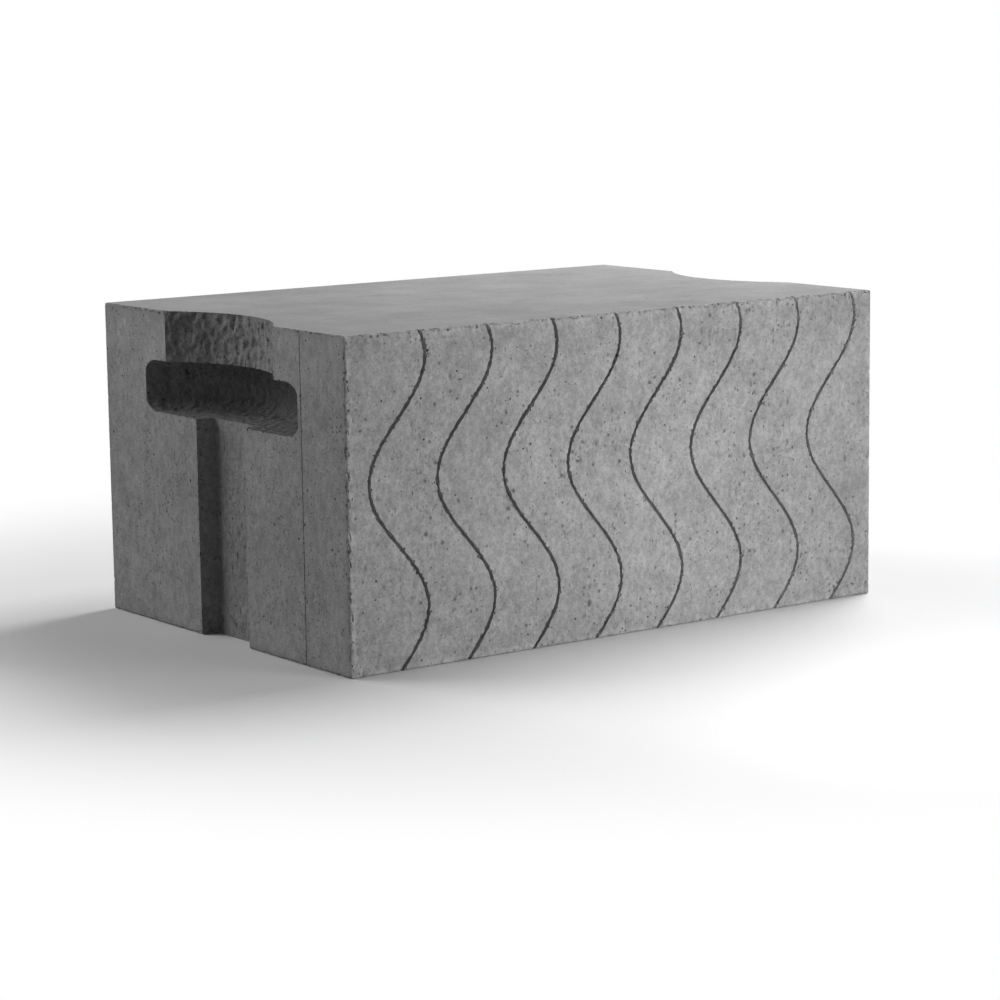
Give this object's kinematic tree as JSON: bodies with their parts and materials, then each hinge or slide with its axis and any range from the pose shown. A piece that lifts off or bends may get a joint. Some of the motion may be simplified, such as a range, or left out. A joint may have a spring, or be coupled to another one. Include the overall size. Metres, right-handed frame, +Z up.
{
  "type": "aerated concrete block",
  "caption": "Solid aerated concrete foundation block with a tongue and groove joint, a finger slot and hand recess in each end, and a face scored with plain waves.",
  "frame": {"origin": "centre of the bed face, midway between the two end faces and midway through the thickness", "axes": "+X along the length towards the tongue, +Y from the scored face to the plain face, +Z up"},
  "size_m": [0.451, 0.3, 0.215],
  "materials": {
    "concrete": "matte grey aerated concrete with fine open pores"
  },
  "bodies": {
    "root": {"block": "concrete"}
  },
  "joints": []
}
